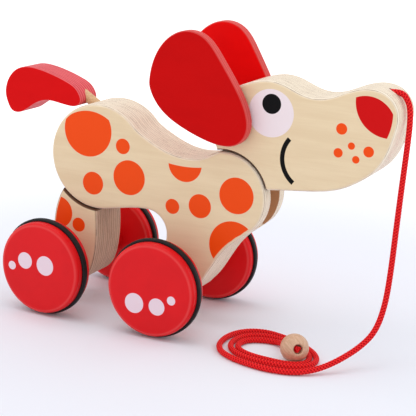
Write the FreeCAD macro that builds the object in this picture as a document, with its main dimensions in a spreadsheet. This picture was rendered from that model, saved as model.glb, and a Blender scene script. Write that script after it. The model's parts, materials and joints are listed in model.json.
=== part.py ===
import FreeCAD, Part
import math
import os
import Sketcher
from FreeCAD import Placement, Rotation, Vector

# A pull-along wooden dog on four wheels, with a pull cord and bead, in millimetres.
# Frame: +X is the nose's way, +Y the dog's left, +Z up, and the floor is z = 0.
# Body, head and rear leg are each glued up from a core board between two side boards.
# The head nods about a pin in the shoulder, and the rear leg swings about a pin in the rump.

SIZES = [
    ("core_thickness", 18, "middle board of body, head and rear leg"),
    ("side_thickness", 12, "outer board on each side"),
    ("tongue_play", 0.3, "gap from a swinging core to the board beside it"),
    ("board_round", 2.5, "rounding of a board's outer edge"),
    ("hip_x", -76, "rump pin"),
    ("hip_z", 125, "rump pin height"),
    ("rump_radius", 42.2, "round of the rump"),
    ("shoulder_x", 34, "shoulder pin"),
    ("shoulder_z", 108.5, "shoulder pin height"),
    ("shoulder_radius", 34.7, "round of the shoulder"),
    ("joint_gap", 1.1, "gap from a round to the hollow that swings about it"),
    ("back_sag", 12.5, "depth of the back below rump and shoulder"),
    ("belly_z", 88.7, "height of the belly"),
    ("arch_x", -13.2, "hind edge of the front leg at its waist"),
    ("arch_round", 18, "round of the corner between belly and front leg"),
    ("chest_hollow", 4.3, "hollow of the chest down to the foot"),
    ("front_axle_x", -3.4, "front axle"),
    ("rear_axle_x", -99.6, "rear axle"),
    ("rear_axle_skew", 3.5, "rear axle's hole out of square, degrees from above"),
    ("front_foot_radius", 18, "round of the front foot"),
    ("rear_foot_radius", 20.6, "round of the rear foot"),
    ("leg_front_reach", 24, "rear leg's front edge, forward of its axle"),
    ("head_tongue_radius", 25, "disc of the head in the shoulder slot"),
    ("leg_tongue_radius", 27, "disc of the leg in the rump slot"),
    ("slot_gap", 1.5, "gap round a tongue's disc in its slot"),
    ("pin_radius", 6, "rump and shoulder pins"),
    ("pin_seat", 8, "depth of a pin in each side board"),
    ("pin_play", 0.06, "radial play on a pin"),
    ("head_length", 145, "nape to nose"),
    ("head_height", 87, "chin to crown"),
    ("ear_x", 38, "ear dowel"),
    ("ear_z", 168, "ear dowel height"),
    ("ear_length", 81, "ear, tip to root"),
    ("ear_height", 83, "ear, top to bottom"),
    ("ear_thickness", 10, "ear board"),
    ("ear_round", 1.8, "rounding of an ear's edges"),
    ("ear_dowel_radius", 5, "dowel through the head"),
    ("ear_seat", 6, "depth of the dowel in each ear"),
    ("ear_lead", 5.4, "turn of the left ear ahead of the right one, degrees"),
    ("ear_washer_radius", 10, "washer between ear and head"),
    ("ear_washer_thickness", 2, "washer between ear and head"),
    ("washer_play", 0.2, "slack of a washer between its faces"),
    ("tail_angle", 111.5, "where the tail dowel enters the rump's round, degrees"),
    ("tail_dowel_angle", 149, "way the tail dowel points, degrees from forward"),
    ("tail_length", 72, "tail, end to end"),
    ("tail_height", 38, "tail, top to bottom"),
    ("tail_thickness", 26, "tail board"),
    ("tail_round", 0.8, "rounding of the tail's edges"),
    ("tail_dowel_radius", 4.2, "tail dowel"),
    ("tail_dowel_seat", 10, "depth of the dowel in the rump"),
    ("tail_dowel_reach", 17, "length of the dowel above the rump"),
    ("dowel_play", 0.06, "radial play on the turning dowels"),
    ("wheel_radius", 36.8, "wheel rim"),
    ("wheel_thickness", 19, "wheel"),
    ("wheel_round", 3, "rounding of the wheel's edges"),
    ("wheel_inner_y", 44, "inner face of a wheel, from the middle"),
    ("tyre_proud", 2, "rubber ring, above the rim"),
    ("tyre_width", 5.2, "rubber ring"),
    ("tyre_round", 1.2, "rounding of the rubber ring"),
    ("groove_depth", 3.5, "groove in the rim for the ring"),
    ("axle_radius", 5, "axles"),
    ("axle_play", 0.06, "radial play of an axle in its leg"),
    ("axle_seat", 12, "depth of an axle in each wheel"),
    ("sleeve_radius", 10, "spacer sleeves on the axles"),
    ("sleeve_gap", 2.8, "end play of an axle on each side of its leg"),
    ("front_axle_slide", 2.2, "the front axle stands this far to the dog's right in its play"),
    ("cord_diameter", 4.4, "pull cord"),
    ("cord_bore_play", 0.25, "radial play of the cord in its holes"),
    ("bead_radius", 10.7, "pull bead"),
    ("knot_radius", 3.1, "knot in the bead"),
    ("knot_length", 5.0, "knot in the bead"),
    ("knot_gap", 0.4, "radial gap round the knot"),
    ("knot_sink", 6.5, "depth of the bead's wide front hole"),
]

# Each pad or cut that has to pass right through a board uses this much more than the board.
THROUGH = 4

doc = FreeCAD.newDocument("PullAlongDog")
sheet = doc.addObject("Spreadsheet::Sheet", "Sizes")
for row, (alias, value, note) in enumerate(SIZES, start=1):
    sheet.set("A%d" % row, note)
    sheet.set("B%d" % row, str(value))
    sheet.setAlias("B%d" % row, alias)
doc.recompute()


def size(alias):
    return float(getattr(sheet, alias))


def measure(text):
    """The number that an expression on the sheet's sizes gives."""
    result = sheet.evalExpression(text)
    return float(getattr(result, "Value", result))


SIDE_Y = "(Sizes.core_thickness + Sizes.side_thickness) / 2"
SWING_CORE = "Sizes.core_thickness - 2 * Sizes.tongue_play"
SWING_SIDE_Y = "(%s + Sizes.side_thickness) / 2" % SWING_CORE
SWING_FACE = "(%s) / 2 + Sizes.side_thickness" % SWING_CORE
AXLE_Z = "(Sizes.wheel_radius + Sizes.tyre_proud)"
HIP = ("Sizes.hip_x", "Sizes.hip_z")
SHOULDER = ("Sizes.shoulder_x", "Sizes.shoulder_z")
FRONT_AXLE = ("Sizes.front_axle_x", AXLE_Z)
REAR_AXLE = ("Sizes.rear_axle_x", AXLE_Z)
EAR_DOWEL = ("Sizes.ear_x", "Sizes.ear_z")


def point(pair):
    """A place in the dog's upright middle plane, from two expressions."""
    return Vector(measure(pair[0]), measure(pair[1]), 0)


def polar(centre, radius, angle):
    turn = math.radians(angle)
    return centre + Vector(radius * math.cos(turn), radius * math.sin(turn), 0)


def heading(angle):
    return polar(Vector(0, 0, 0), 1, angle)


class Outline:
    """A closed outline in a board's plane, drawn as curves, arcs and straight edges in turn."""

    def __init__(self, start):
        self.start = start
        self.pen = start
        self.edges = []

    def curve(self, points, leave=None, arrive=None):
        spline = Part.BSplineCurve()
        chain = [self.pen] + points
        if leave and arrive:
            spline.interpolate(Points=chain, InitialTangent=leave, FinalTangent=arrive)
        else:
            spline.interpolate(chain)
        self.edges.append(spline)
        self.pen = points[-1]

    def arc(self, centre, radius, first, last):
        middle = polar(centre, radius, (first + last) / 2)
        end = polar(centre, radius, last)
        self.edges.append(Part.Arc(self.pen, middle, end))
        self.pen = end

    def line(self, end):
        self.edges.append(Part.LineSegment(self.pen, end))
        self.pen = end


def bulge(start, end, shares, depth):
    """Points beside the straight way from start to end, each (share along, share of depth left)."""
    way = end - start
    left = Vector(-way.y, way.x, 0).normalize()
    return [start + way * along + left * (depth * side) for along, side in shares]


def newBody(name):
    body = doc.addObject("PartDesign::Body", name)
    body.Label = name
    return body


def newSketch(body, name, role):
    plane = [feature for feature in body.Origin.OriginFeatures if feature.Role == role][0]
    sketch = body.newObject("Sketcher::SketchObject", name)
    sketch.AttachmentSupport = [(plane, "")]
    sketch.MapMode = "FlatFace"
    return sketch


def polygon(sketch, corners):
    """A closed polygon whose corners are held by expressions on the sheet."""
    places = [point(corner) for corner in corners]
    count = len(places)
    for index in range(count):
        sketch.addGeometry(Part.LineSegment(places[index], places[(index + 1) % count]), False)
    for index in range(count):
        sketch.addConstraint(Sketcher.Constraint("Coincident", index, 2, (index + 1) % count, 1))
    for index, (across, up) in enumerate(corners):
        for kind, text in (("DistanceX", across), ("DistanceY", up)):
            number = sketch.addConstraint(Sketcher.Constraint(kind, index, 1, measure(text)))
            sketch.setExpression("Constraints[%d]" % number, text)


def pad(body, sketch, name, thickness):
    feature = body.newObject("PartDesign::Pad", name)
    feature.Profile = sketch
    feature.Midplane = True
    feature.setExpression("Length", thickness)
    sketch.Visibility = False
    doc.recompute()
    return feature


def roundEdges(body, name, radius, chosen):
    """Round the chosen edges of what the body is so far."""
    base = body.Tip
    names = ["Edge%d" % (index + 1) for index, edge in enumerate(base.Shape.Edges) if chosen(edge)]
    feature = body.newObject("PartDesign::Fillet", name)
    feature.Base = (base, names)
    feature.setExpression("Radius", radius)
    doc.recompute()
    return feature


def liesAt(y):
    """Edges that lie in the plane at this y of the body's own frame."""
    def test(edge):
        box = edge.BoundBox
        return abs(box.YMin - y) < 1e-4 and abs(box.YMax - y) < 1e-4
    return test


def crossBore(body, name, place, radius, start, length, kind="PartDesign::SubtractiveCylinder"):
    """A round hole along +Y from y = start, or a round boss with the additive kind."""
    bore = body.newObject(kind, name)
    bore.Placement = Placement(Vector(0, 0, 0), Rotation(Vector(1, 0, 0), -90))
    bore.setExpression("Placement.Base.x", place[0])
    bore.setExpression("Placement.Base.y", start)
    bore.setExpression("Placement.Base.z", place[1])
    bore.setExpression("Radius", radius)
    bore.setExpression("Height", length)
    doc.recompute()
    return bore


def axleLine(axle, skew):
    """A frame at an axle's middle whose Y runs along it, turned by its skew seen from above."""
    middle = point(axle)
    return Placement(Vector(middle.x, 0, middle.y), Rotation(Vector(0, 0, 1), -skew))


def axleBore(body, name, axle, skew, away, thickness):
    """The running hole of an axle in a board whose middle stands this far from the dog's."""
    length = thickness + 2 * THROUGH
    bore = body.newObject("PartDesign::SubtractiveCylinder", name)
    start = Placement(Vector(0, away - length / 2, 0), Rotation(Vector(1, 0, 0), -90))
    bore.Placement = Placement(Vector(0, -away, 0), Rotation()) * axleLine(axle, skew) * start
    bore.setExpression("Radius", "Sizes.axle_radius + Sizes.axle_play")
    bore.Height = length
    doc.recompute()
    return bore


def throughBore(body, name, place, radius, thickness):
    return crossBore(body, name, place, radius,
                     "-(%s) / 2 - %d" % (thickness, THROUGH), "%s + %d" % (thickness, 2 * THROUGH))


def board(name, outline, thickness):
    """A flat board across the middle plane, cut to an outline."""
    body = newBody(name)
    sketch = newSketch(body, name + "_outline", "XZ_Plane")
    for edge in outline.edges:
        sketch.addGeometry(edge, False)
    pad(body, sketch, name + "_pad", thickness)
    return body


def sideBoard(name, outline, side, offset):
    """A side board at y = side * offset, with its outer edge rounded."""
    body = board(name, outline, "Sizes.side_thickness")
    outer = side * size("side_thickness") / 2
    roundEdges(body, name + "_round", "Sizes.board_round", liesAt(outer))
    body.setExpression("Placement.Base.y", "%d * (%s)" % (side, offset))
    return body


def pinSeat(body, name, place, side):
    """A blind hole for a pin's end in a side board's inner face."""
    start = "-Sizes.side_thickness / 2 - %d" % THROUGH
    if side < 0:
        start = "Sizes.side_thickness / 2 - Sizes.pin_seat"
    crossBore(body, name, place, "Sizes.pin_radius", start, "Sizes.pin_seat + %d" % THROUGH)


def rod(name, place, radius, length):
    """A round rod across the middle plane."""
    body = newBody(name)
    crossBore(body, name + "_rod", place, radius, "-(%s) / 2" % length, length,
              "PartDesign::AdditiveCylinder")
    return body


# ---- outlines ---------------------------------------------------------------------------

RUMP_TOP = 42          # where the back leaves the rump's round, degrees
RUMP_BOTTOM = -82      # where the belly leaves it
NECK_TOP = 97.5        # where the shoulder's round starts at the back
NECK_LOW = -35         # where the chest leaves it
FOOT_FRONT = -35       # where the chest meets the front foot's round
FOOT_BACK = 165        # where its hind edge leaves it


def bodyOutline():
    hip, shoulder, axle = point(HIP), point(SHOULDER), point(FRONT_AXLE)
    rump, neck, foot = size("rump_radius"), size("shoulder_radius"), size("front_foot_radius")
    shape = Outline(polar(hip, rump, RUMP_TOP))
    saddle = polar(shoulder, neck, NECK_TOP)
    shape.curve(bulge(shape.pen, saddle, [(0.17, -0.52), (0.46, -1.0), (0.70, -0.96), (0.87, -0.58)],
                      size("back_sag")) + [saddle], heading(RUMP_TOP - 90), heading(26))
    shape.arc(shoulder, neck, NECK_TOP, NECK_LOW)
    toe = polar(axle, foot, FOOT_FRONT)
    shape.curve(bulge(shape.pen, toe, [(0.185, 0.45), (0.33, 0.95), (0.5, 1.0), (0.655, 0.6),
                                       (0.81, 0.12)], -size("chest_hollow")) + [toe])
    shape.arc(axle, foot, FOOT_FRONT, FOOT_BACK - 360)
    corner = Vector(size("arch_x") - size("arch_round"), size("belly_z") - size("arch_round"), 0)
    shape.curve([polar(corner, size("arch_round"), 0)], heading(FOOT_BACK - 90), heading(90))
    shape.arc(corner, size("arch_round"), 0, 90)
    shape.curve([polar(hip, rump, RUMP_BOTTOM)], heading(180), heading(RUMP_BOTTOM - 90))
    shape.arc(hip, rump, RUMP_BOTTOM, RUMP_TOP - 360)
    return shape


HEAD_JAW = 15.5        # lower front corner of the head's hollow, degrees round the shoulder
HEAD_NAPE = 101        # its upper back corner


def headOutline():
    shoulder = point(SHOULDER)
    hollow = size("shoulder_radius") + size("joint_gap")
    long, high = size("head_length"), size("head_height")
    shares = [(-0.056, 0.44), (-0.079, 0.60), (-0.076, 0.75), (-0.036, 0.883), (0.036, 0.968),
              (0.135, 1.036), (0.225, 1.062), (0.310, 1.038), (0.390, 0.985), (0.470, 0.955),
              (0.550, 0.972), (0.648, 1.038), (0.752, 1.082), (0.835, 1.060), (0.893, 0.980),
              (0.916, 0.872), (0.905, 0.735), (0.868, 0.540), (0.810, 0.392), (0.735, 0.293),
              (0.645, 0.212), (0.535, 0.165), (0.425, 0.143), (0.335, 0.128)]
    places = [shoulder + Vector(along * long, up * high, 0) for along, up in shares]
    shape = Outline(polar(shoulder, hollow, HEAD_NAPE))
    shape.curve(places + [polar(shoulder, hollow, HEAD_JAW)])
    shape.arc(shoulder, hollow, HEAD_JAW, HEAD_NAPE)
    return shape


LEG_BACK = 223.4       # upper back corner of the leg's hollow, degrees round the hip
LEG_FRONT = 269.5      # its upper front corner
LEG_FOOT_FRONT = -30   # where the leg's front edge meets the rear foot's round
LEG_FOOT_BACK = 175    # where its hind edge leaves it


def legOutline():
    hip, axle = point(HIP), point(REAR_AXLE)
    hollow, foot = size("rump_radius") + size("joint_gap"), size("rear_foot_radius")
    shape = Outline(polar(hip, hollow, LEG_FRONT))
    knee = axle + Vector(size("leg_front_reach"), size("leg_front_reach"), 0)
    shin = axle + Vector(size("leg_front_reach") * 0.97, foot / 2, 0)
    shape.curve([knee, shin, polar(axle, foot, LEG_FOOT_FRONT)], heading(-88),
                heading(LEG_FOOT_FRONT - 90))
    shape.arc(axle, foot, LEG_FOOT_FRONT, LEG_FOOT_BACK - 360)
    heel = polar(hip, hollow, LEG_BACK)
    shape.curve(bulge(shape.pen, heel, [(0.33, 0.4), (0.7, 1.0)], 3.0) + [heel],
                heading(85), heading(52))
    shape.arc(hip, hollow, LEG_BACK, LEG_FRONT)
    return shape


def sharesOutline(root, shares, long, high):
    """A closed smooth outline, its points given as shares of a length and a height."""
    places = [root + Vector(along * long, up * high, 0) for along, up in shares]
    spline = Part.BSplineCurve()
    spline.interpolate(places, PeriodicFlag=True)
    shape = Outline(places[0])
    shape.edges.append(spline)
    return shape


# ---- body and front leg -----------------------------------------------------------------

HEAD_SLOT = [-48, 15, 75, 125]     # the shoulder slot's sides, degrees
LEG_SLOT = [186, 235, 284]         # the rump slot's sides
SLOT_REACH = 95                    # past the outline of the body


def fan(centre, angles, reach):
    """Corners of a fan from a hinge, as expressions."""
    rays = [("%s + %g * cos(%g deg)" % (centre[0], reach, angle),
             "%s + %g * sin(%g deg)" % (centre[1], reach, angle)) for angle in angles]
    return [centre] + rays


def makeBody():
    outline = bodyOutline()
    core = board("body_core", outline, "Sizes.core_thickness")
    for name, hinge, angles, disc in (
            ("head_slot", SHOULDER, HEAD_SLOT, "Sizes.head_tongue_radius + Sizes.slot_gap"),
            ("leg_slot", HIP, LEG_SLOT, "Sizes.leg_tongue_radius + Sizes.slot_gap")):
        sketch = newSketch(core, name + "_fan", "XZ_Plane")
        polygon(sketch, fan(hinge, angles, SLOT_REACH))
        cut = core.newObject("PartDesign::Pocket", name)
        cut.Profile = sketch
        cut.Type = "ThroughAll"
        cut.Midplane = True
        doc.recompute()
        throughBore(core, name + "_disc", hinge, disc, "Sizes.core_thickness")
    throughBore(core, "core_axle_bore", FRONT_AXLE, "Sizes.axle_radius + Sizes.axle_play",
                "Sizes.core_thickness")
    tailHole(core)
    for side, name in ((-1, "body_side_right"), (1, "body_side_left")):
        panel = sideBoard(name, outline, side, SIDE_Y)
        pinSeat(panel, name + "_hip_seat", HIP, side)
        pinSeat(panel, name + "_shoulder_seat", SHOULDER, side)
        throughBore(panel, name + "_axle_bore", FRONT_AXLE, "Sizes.axle_radius + Sizes.axle_play",
                    "Sizes.side_thickness")
    for name, hinge in (("hip_pin", HIP), ("shoulder_pin", SHOULDER)):
        rod(name, hinge, "Sizes.pin_radius", "Sizes.core_thickness + 2 * Sizes.pin_seat")


# ---- head and ears ----------------------------------------------------------------------

HEAD_TONGUE = [22, 58, 94]         # sides of the head's neck, degrees round the shoulder
NECK_REACH = 44                    # past the hollow, into the head


def makeHead():
    outline = headOutline()
    core = board("head_core", outline, SWING_CORE)
    addTongue(core, "neck", SHOULDER, HEAD_TONGUE, "Sizes.head_tongue_radius")
    throughBore(core, "head_core_dowel_bore", EAR_DOWEL,
                "Sizes.ear_dowel_radius + Sizes.dowel_play", SWING_CORE)
    cordHole(core)
    for side, name in ((-1, "head_cheek_right"), (1, "head_cheek_left")):
        cheek = sideBoard(name, outline, side, SWING_SIDE_Y)
        throughBore(cheek, name + "_dowel_bore", EAR_DOWEL,
                    "Sizes.ear_dowel_radius + Sizes.dowel_play", "Sizes.side_thickness")


def addTongue(core, name, hinge, angles, radius):
    """The neck and round tongue of a core that swings in a slot, with its pin's bore."""
    sketch = newSketch(core, name + "_fan", "XZ_Plane")
    polygon(sketch, fan(hinge, angles, NECK_REACH))
    pad(core, sketch, name, SWING_CORE)
    crossBore(core, name + "_disc", hinge, radius, "-(%s) / 2" % SWING_CORE, SWING_CORE,
              "PartDesign::AdditiveCylinder")
    throughBore(core, name + "_pin_bore", hinge, "Sizes.pin_radius + Sizes.pin_play", SWING_CORE)


EAR_SHARES = [(-0.790, 0.290), (-0.741, 0.518), (-0.623, 0.690), (-0.432, 0.784), (-0.262, 0.755),
              (-0.074, 0.566), (0.109, 0.305), (0.216, 0.088), (0.226, -0.060), (0.142, -0.183),
              (-0.015, -0.217), (-0.198, -0.183), (-0.420, -0.101), (-0.630, 0.022), (-0.753, 0.169)]

EAR_GAP = "(Sizes.ear_washer_thickness + 2 * Sizes.washer_play)"
EAR_Y = "%s + %s + Sizes.ear_thickness / 2" % (SWING_FACE, EAR_GAP)


def makeEars():
    for side, name in ((-1, "ear_right"), (1, "ear_left")):
        shape = sharesOutline(Vector(0, 0, 0), EAR_SHARES, size("ear_length"), size("ear_height"))
        ear = board(name, shape, "Sizes.ear_thickness")
        half = size("ear_thickness") / 2
        roundEdges(ear, name + "_round", "Sizes.ear_round",
                   lambda edge: liesAt(half)(edge) or liesAt(-half)(edge))
        start = "-Sizes.ear_thickness / 2 - %d" % THROUGH
        if side < 0:
            start = "Sizes.ear_thickness / 2 - Sizes.ear_seat"
        crossBore(ear, name + "_seat", ("0", "0"), "Sizes.ear_dowel_radius", start,
                  "Sizes.ear_seat + %d" % THROUGH)
        lead = size("ear_lead") if side > 0 else 0
        ear.Placement = Placement(Vector(0, 0, 0), Rotation(Vector(0, 1, 0), lead))
        ear.setExpression("Placement.Base.x", EAR_DOWEL[0])
        ear.setExpression("Placement.Base.y", "%d * (%s)" % (side, EAR_Y))
        ear.setExpression("Placement.Base.z", EAR_DOWEL[1])
    rod("ear_dowel", EAR_DOWEL, "Sizes.ear_dowel_radius",
        "2 * (%s + %s + Sizes.ear_seat)" % (SWING_FACE, EAR_GAP))
    for side, name in ((-1, "ear_washer_right"), (1, "ear_washer_left")):
        washer = rod(name, EAR_DOWEL, "Sizes.ear_washer_radius", "Sizes.ear_washer_thickness")
        throughBore(washer, name + "_bore", EAR_DOWEL,
                    "Sizes.ear_dowel_radius + Sizes.dowel_play", "Sizes.ear_washer_thickness")
        washer.setExpression("Placement.Base.y", "%d * (%s + Sizes.washer_play"
                             " + Sizes.ear_washer_thickness / 2)" % (side, SWING_FACE))


# ---- rear leg ---------------------------------------------------------------------------

LEG_TONGUE = [230, 248, 266]       # sides of the leg's neck, degrees round the hip


def makeRearLeg():
    outline = legOutline()
    core = board("rear_leg_core", outline, SWING_CORE)
    addTongue(core, "thigh", HIP, LEG_TONGUE, "Sizes.leg_tongue_radius")
    skew = size("rear_axle_skew")
    axleBore(core, "leg_core_axle_bore", REAR_AXLE, skew, 0, measure(SWING_CORE))
    for side, name in ((-1, "rear_leg_side_right"), (1, "rear_leg_side_left")):
        panel = sideBoard(name, outline, side, SWING_SIDE_Y)
        axleBore(panel, name + "_axle_bore", REAR_AXLE, skew, side * measure(SWING_SIDE_Y),
                 size("side_thickness"))


# ---- tail -------------------------------------------------------------------------------

TAIL_SHARES = [(-1.064, 0.098), (-1.021, 0.372), (-0.924, 0.572), (-0.819, 0.648),
               (-0.646, 0.643), (-0.435, 0.551), (-0.257, 0.435), (-0.160, 0.340),
               (-0.096, 0.198), (-0.080, 0.035), (-0.125, -0.049), (-0.230, -0.070),
               (-0.377, -0.031), (-0.500, -0.012), (-0.620, -0.065), (-0.757, -0.228),
               (-0.882, -0.346), (-0.966, -0.333), (-1.030, -0.178)]


def tailRoot():
    return polar(point(HIP), size("rump_radius"), size("tail_angle"))


def dowelPlacement(depth):
    """A frame whose Z runs out of the rump along the tail dowel, from this far under its top."""
    outward = heading(size("tail_dowel_angle"))
    root = tailRoot() - outward * depth
    way = Vector(outward.x, 0, outward.y)
    return Placement(Vector(root.x, 0, root.y), Rotation(Vector(0, 0, 1), way))


def dowelCylinder(body, name, kind, radius, length, depth):
    """A cylinder along the tail dowel; its place follows the hip, the rump and the angle."""
    shape = body.newObject(kind, name)
    shape.Placement = dowelPlacement(depth)
    shape.setExpression("Radius", radius)
    shape.setExpression("Height", length)
    doc.recompute()
    return shape


def tailHole(core):
    dowelCylinder(core, "tail_hole", "PartDesign::SubtractiveCylinder",
                  "Sizes.tail_dowel_radius + Sizes.dowel_play",
                  "Sizes.tail_dowel_seat + %d" % THROUGH, size("tail_dowel_seat"))


def makeTail():
    shape = sharesOutline(tailRoot(), TAIL_SHARES, size("tail_length"), size("tail_height"))
    tail = board("tail", shape, "Sizes.tail_thickness")
    half = size("tail_thickness") / 2
    roundEdges(tail, "tail_round_edges", "Sizes.tail_round",
               lambda edge: liesAt(half)(edge) or liesAt(-half)(edge))
    dowelCylinder(tail, "tail_seat", "PartDesign::SubtractiveCylinder", "Sizes.tail_dowel_radius",
                  "Sizes.tail_dowel_reach + Sizes.tail_dowel_seat", size("tail_dowel_seat"))
    dowel = newBody("tail_dowel")
    dowelCylinder(dowel, "tail_dowel_rod", "PartDesign::AdditiveCylinder",
                  "Sizes.tail_dowel_radius", "Sizes.tail_dowel_reach + Sizes.tail_dowel_seat",
                  size("tail_dowel_seat"))


# ---- wheels -----------------------------------------------------------------------------

def spunProfile(name, corners):
    """A piece turned about its own Z, its half section given as (radius, height) expressions."""
    body = newBody(name)
    sketch = newSketch(body, name + "_section", "XZ_Plane")
    polygon(sketch, corners)
    spin = body.newObject("PartDesign::Revolution", name + "_turned")
    spin.Profile = sketch
    spin.ReferenceAxis = (sketch, ["V_Axis"])
    spin.Angle = 360
    doc.recompute()
    return body


def isRing(radius):
    """Round edges of this radius about the piece's own axis."""
    def test(edge):
        curve = edge.Curve
        return isinstance(curve, Part.Circle) and abs(curve.Radius - radius) < 1e-4
    return test


def placeTurned(body, line, side, offset):
    """Stand a turned piece on its axle's line, its Z pointing out of the dog's side."""
    body.Placement = line * Placement(Vector(0, side * measure(offset), 0),
                                      Rotation(Vector(1, 0, 0), -90 * side))


TYRE_RADIUS = "Sizes.wheel_radius + Sizes.tyre_proud"
GROOVE_LOW = "(Sizes.wheel_thickness - Sizes.tyre_width) / 2"
GROOVE_HIGH = "(Sizes.wheel_thickness + Sizes.tyre_width) / 2"
GROOVE_RADIUS = "Sizes.wheel_radius - Sizes.groove_depth"


def makeWheel(name, line, side):
    wheel = spunProfile(name, [
        ("Sizes.axle_radius", "0"), ("Sizes.wheel_radius", "0"),
        ("Sizes.wheel_radius", GROOVE_LOW), (GROOVE_RADIUS, GROOVE_LOW),
        (GROOVE_RADIUS, GROOVE_HIGH), ("Sizes.wheel_radius", GROOVE_HIGH),
        ("Sizes.wheel_radius", "Sizes.wheel_thickness"), ("0", "Sizes.wheel_thickness"),
        ("0", "Sizes.axle_seat"), ("Sizes.axle_radius", "Sizes.axle_seat")])
    rim, top = size("wheel_radius"), size("wheel_thickness")
    roundEdges(wheel, name + "_round", "Sizes.wheel_round",
               lambda edge: isRing(rim)(edge) and (abs(edge.BoundBox.ZMin) < 1e-4
                                                   or abs(edge.BoundBox.ZMax - top) < 1e-4))
    placeTurned(wheel, line, side, "Sizes.wheel_inner_y")


def makeTyre(name, line, side):
    tyre = spunProfile(name, [(GROOVE_RADIUS, GROOVE_LOW), (TYRE_RADIUS, GROOVE_LOW),
                              (TYRE_RADIUS, GROOVE_HIGH), (GROOVE_RADIUS, GROOVE_HIGH)])
    roundEdges(tyre, name + "_round", "Sizes.tyre_round", isRing(measure(TYRE_RADIUS)))
    placeTurned(tyre, line, side, "Sizes.wheel_inner_y")


def makeSleeve(name, line, side):
    """The spacer glued on the axle between leg and wheel."""
    length = "Sizes.wheel_inner_y - Sizes.core_thickness / 2 - Sizes.side_thickness - Sizes.sleeve_gap"
    sleeve = spunProfile(name, [("Sizes.axle_radius", "0"), ("Sizes.sleeve_radius", "0"),
                                ("Sizes.sleeve_radius", length), ("Sizes.axle_radius", length)])
    placeTurned(sleeve, line, side, "Sizes.wheel_inner_y - (%s)" % length)


def makeAxle(name, line):
    shaft = newBody(name)
    crossBore(shaft, name + "_rod", ("0", "0"), "Sizes.axle_radius",
              "-Sizes.wheel_inner_y - Sizes.axle_seat",
              "2 * (Sizes.wheel_inner_y + Sizes.axle_seat)", "PartDesign::AdditiveCylinder")
    shaft.Placement = line


def makeWheels():
    front = axleLine(FRONT_AXLE, 0)
    front.Base.y = -size("front_axle_slide")
    for end, line in (("front", front), ("rear", axleLine(REAR_AXLE, size("rear_axle_skew")))):
        makeAxle(end + "_axle", line)
        for side, hand in ((-1, "right"), (1, "left")):
            makeWheel("%s_wheel_%s" % (end, hand), line, side)
            makeTyre("%s_tyre_%s" % (end, hand), line, side)
            makeSleeve("%s_sleeve_%s" % (end, hand), line, side)


# ---- pull cord and bead -----------------------------------------------------------------

# The cord's way from its hole in the nose, down to the floor, round its loops and into the bead.
CORD_ROUTE = [
    (147, -1, 197.6), (160.6, -1, 201.4), (168.8, -3, 194), (171.2, -5, 182), (170.8, -6, 163),
    (169.4, -7, 134), (168.2, -9, 100), (167.6, -12, 68), (167.2, -19, 44), (164.3, -28, 27),
    (157.5, -38, 17.5), (148, -51, 10.3), (137.5, -63, 5), (126.5, -72.5, 2.7), (115, -77.8, 2.25),
    (102, -79.6, 2.25), (91, -78.4, 2.25), (80, -76, 2.25), (69, -72, 2.25), (60, -66.5, 2.25),
    (53.5, -59, 2.25), (49.5, -49, 2.25), (48.5, -37, 2.25), (50.5, -25, 2.25), (56, -16, 2.25),
    (64, -10.5, 2.25), (74, -8.8, 2.25), (86, -12, 2.25), (98, -16.5, 2.25), (110, -24, 2.25),
    (120, -33, 2.25), (126, -43, 2.25), (127, -54, 2.25), (121.8, -63, 2.25), (113, -67.2, 2.25),
    (103.5, -68.6, 2.25), (94, -68.8, 2.25), (84, -68, 2.25), (75, -65.3, 2.25), (66.8, -60.4, 2.25),
    (60, -53, 2.25), (56.6, -43, 2.25), (57.3, -32, 2.25), (61.8, -23.6, 2.25), (69.5, -18.4, 2.25),
    (79, -16.6, 2.25), (88.5, -18.5, 2.25), (98.5, -22.6, 2.25), (108.5, -29, 2.25),
    (116.8, -37, 2.25), (121.3, -46, 2.25), (121.2, -55, 2.25), (115.8, -61.2, 2.25),
    (106, -63.2, 2.25), (95, -62.6, 2.25), (84.5, -61.6, 2.25), (75.5, -59, 2.25),
    (68.3, -54.6, 2.25), (63.6, -48, 2.25), (62.8, -40, 2.25), (65.6, -32.8, 2.25),
    (71.8, -28, 2.25), (80.5, -25.4, 2.25), (91.5, -26.3, 2.9),
]
BEAD_AXIS = Vector(0.604, -0.759, 0.247).normalize()
BEAD_FLOOR = (110.4, -50.3)        # where the bead stands
ARC_SHARE = 0.45


def beadCentre():
    return Vector(BEAD_FLOOR[0], BEAD_FLOOR[1], size("bead_radius"))


def beadMouth():
    """How far the wide hole's bottom lies from the bead's middle, along its axis."""
    return size("bead_radius") - size("knot_sink")


def cordHole(core):
    """The blind hole in the nose, along the cord's first run."""
    bore = core.newObject("PartDesign::SubtractiveCylinder", "cord_hole")
    start, toward = Vector(*CORD_ROUTE[0]), Vector(*CORD_ROUTE[1])
    bore.Placement = Placement(start, Rotation(Vector(0, 0, 1), toward - start))
    bore.setExpression("Radius", "Sizes.cord_diameter / 2 + Sizes.cord_bore_play")
    bore.Height = (toward - start).Length * 2
    doc.recompute()


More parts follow.
